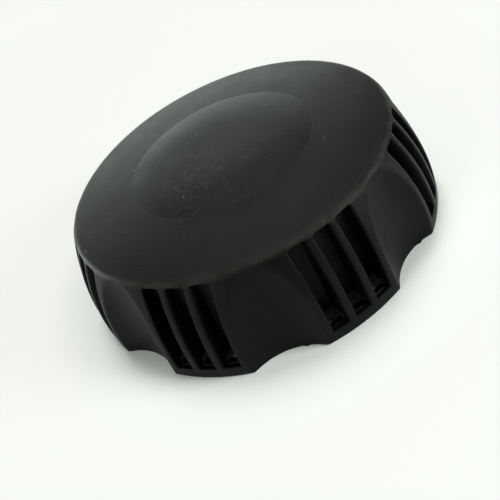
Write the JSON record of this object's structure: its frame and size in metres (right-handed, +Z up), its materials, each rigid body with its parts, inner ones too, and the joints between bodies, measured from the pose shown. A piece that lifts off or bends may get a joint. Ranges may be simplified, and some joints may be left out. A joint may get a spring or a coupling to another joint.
{
  "type": "fuel filler cap",
  "caption": "Round black screw-on tank cap with a domed crown, ribbed grip lobes and finger scallops, a threaded closure, a ratchet and a vented valve inside.",
  "frame": {"origin": "on the thread axis, in the plane of the shell's rim, which is the lowest point", "axes": "+Z up along the thread axis towards the crown; +X through the middle of a grip lobe"},
  "size_m": [0.086, 0.086, 0.0255],
  "materials": {
    "shell_plastic": "fine matt moulded black",
    "ring_plastic": "matt moulded black",
    "closure_plastic": "smooth moulded black",
    "ratchet_plastic": "natural white acetal",
    "washer_steel": "stamped",
    "gasket_rubber": "moulded nitrile rubber",
    "housing_plastic": "smooth black acetal",
    "screen_brass": "woven gauze",
    "filter_foam": "open cell foam",
    "spring_steel": "drawn wire",
    "valve_brass": "turned",
    "valve_rubber": "brown fluorocarbon rubber"
  },
  "bodies": {
    "closure": {"inner_closure": "closure_plastic", "torque_ring": "ratchet_plastic", "thrust_washer": "washer_steel", "neck_gasket": "gasket_rubber", "valve_housing": "housing_plastic", "housing_seal": "gasket_rubber", "splash_guard": "housing_plastic", "flame_screen": "screen_brass", "spring_retainer": "housing_plastic", "vent_filter": "filter_foam", "filter_cover": "housing_plastic", "pressure_spring": "spring_steel"},
    "shell": {"grip_shell": "shell_plastic", "retaining_ring": "ring_plastic"},
    "pressure_valve": {"pressure_plate": "valve_brass", "pressure_seal": "valve_rubber", "vacuum_spring": "spring_steel"},
    "vacuum_valve": {"vacuum_poppet": "valve_brass", "vacuum_seal": "valve_rubber", "poppet_clip": "spring_steel"}
  },
  "joints": [
    {"name": "shell_ratchet", "type": "hinge", "parent": "closure", "child": "shell", "pos_m": [0, 0, 0.015], "axis": [0, 0, 1], "continuous": true},
    {"name": "pressure_valve_lift", "type": "slide", "parent": "closure", "child": "pressure_valve", "axis": [0, 0, 1], "range_m": [0, 0.0012], "stiffness_N_per_m": 300, "springref_m": -0.004, "deforming": ["pressure_spring"]},
    {"name": "vacuum_valve_drop", "type": "slide", "parent": "pressure_valve", "child": "vacuum_valve", "axis": [0, 0, -1], "range_m": [0, 0.001], "stiffness_N_per_m": 60, "springref_m": -0.002, "deforming": ["vacuum_spring"]}
  ]
}
